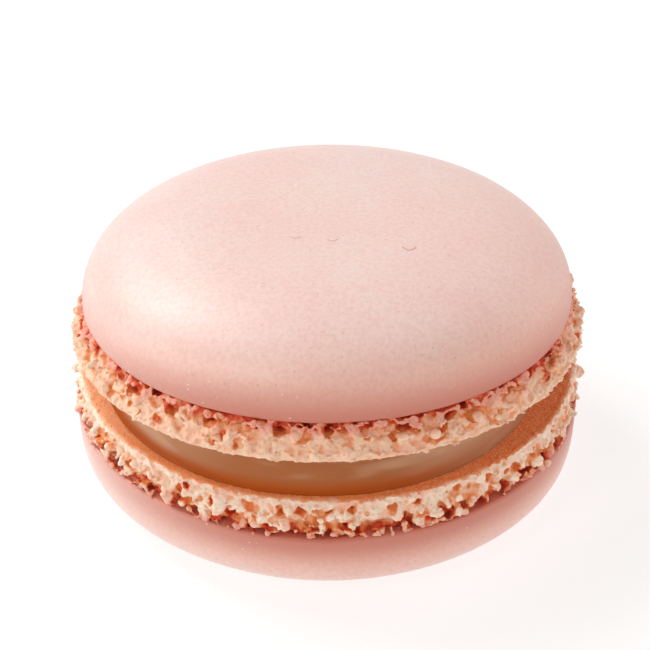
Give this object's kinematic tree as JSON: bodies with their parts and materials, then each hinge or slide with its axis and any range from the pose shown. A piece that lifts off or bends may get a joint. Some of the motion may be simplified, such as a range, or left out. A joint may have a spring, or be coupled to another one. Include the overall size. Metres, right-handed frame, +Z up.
{
  "type": "french macaron",
  "caption": "Round almond-meringue sandwich biscuit with smooth domed shells, ruffled porous feet and a cream layer.",
  "frame": {"origin": "middle of the small flat spot that the lower shell rests on, at the bottom of the macaron", "axes": "+Z up through the middle of both shells, -Y towards the side where the cream shows most, +X to the right of it"},
  "size_m": [0.0475, 0.0477, 0.0251],
  "materials": {
    "shell": "smooth matte baked meringue, pale pink on the domes and creamy orange, porous and rough on the feet",
    "cream": "smooth satin caramel cream"
  },
  "bodies": {
    "root": {"lower_shell": "shell", "cream_filling": "cream", "upper_shell": "shell"}
  },
  "joints": []
}
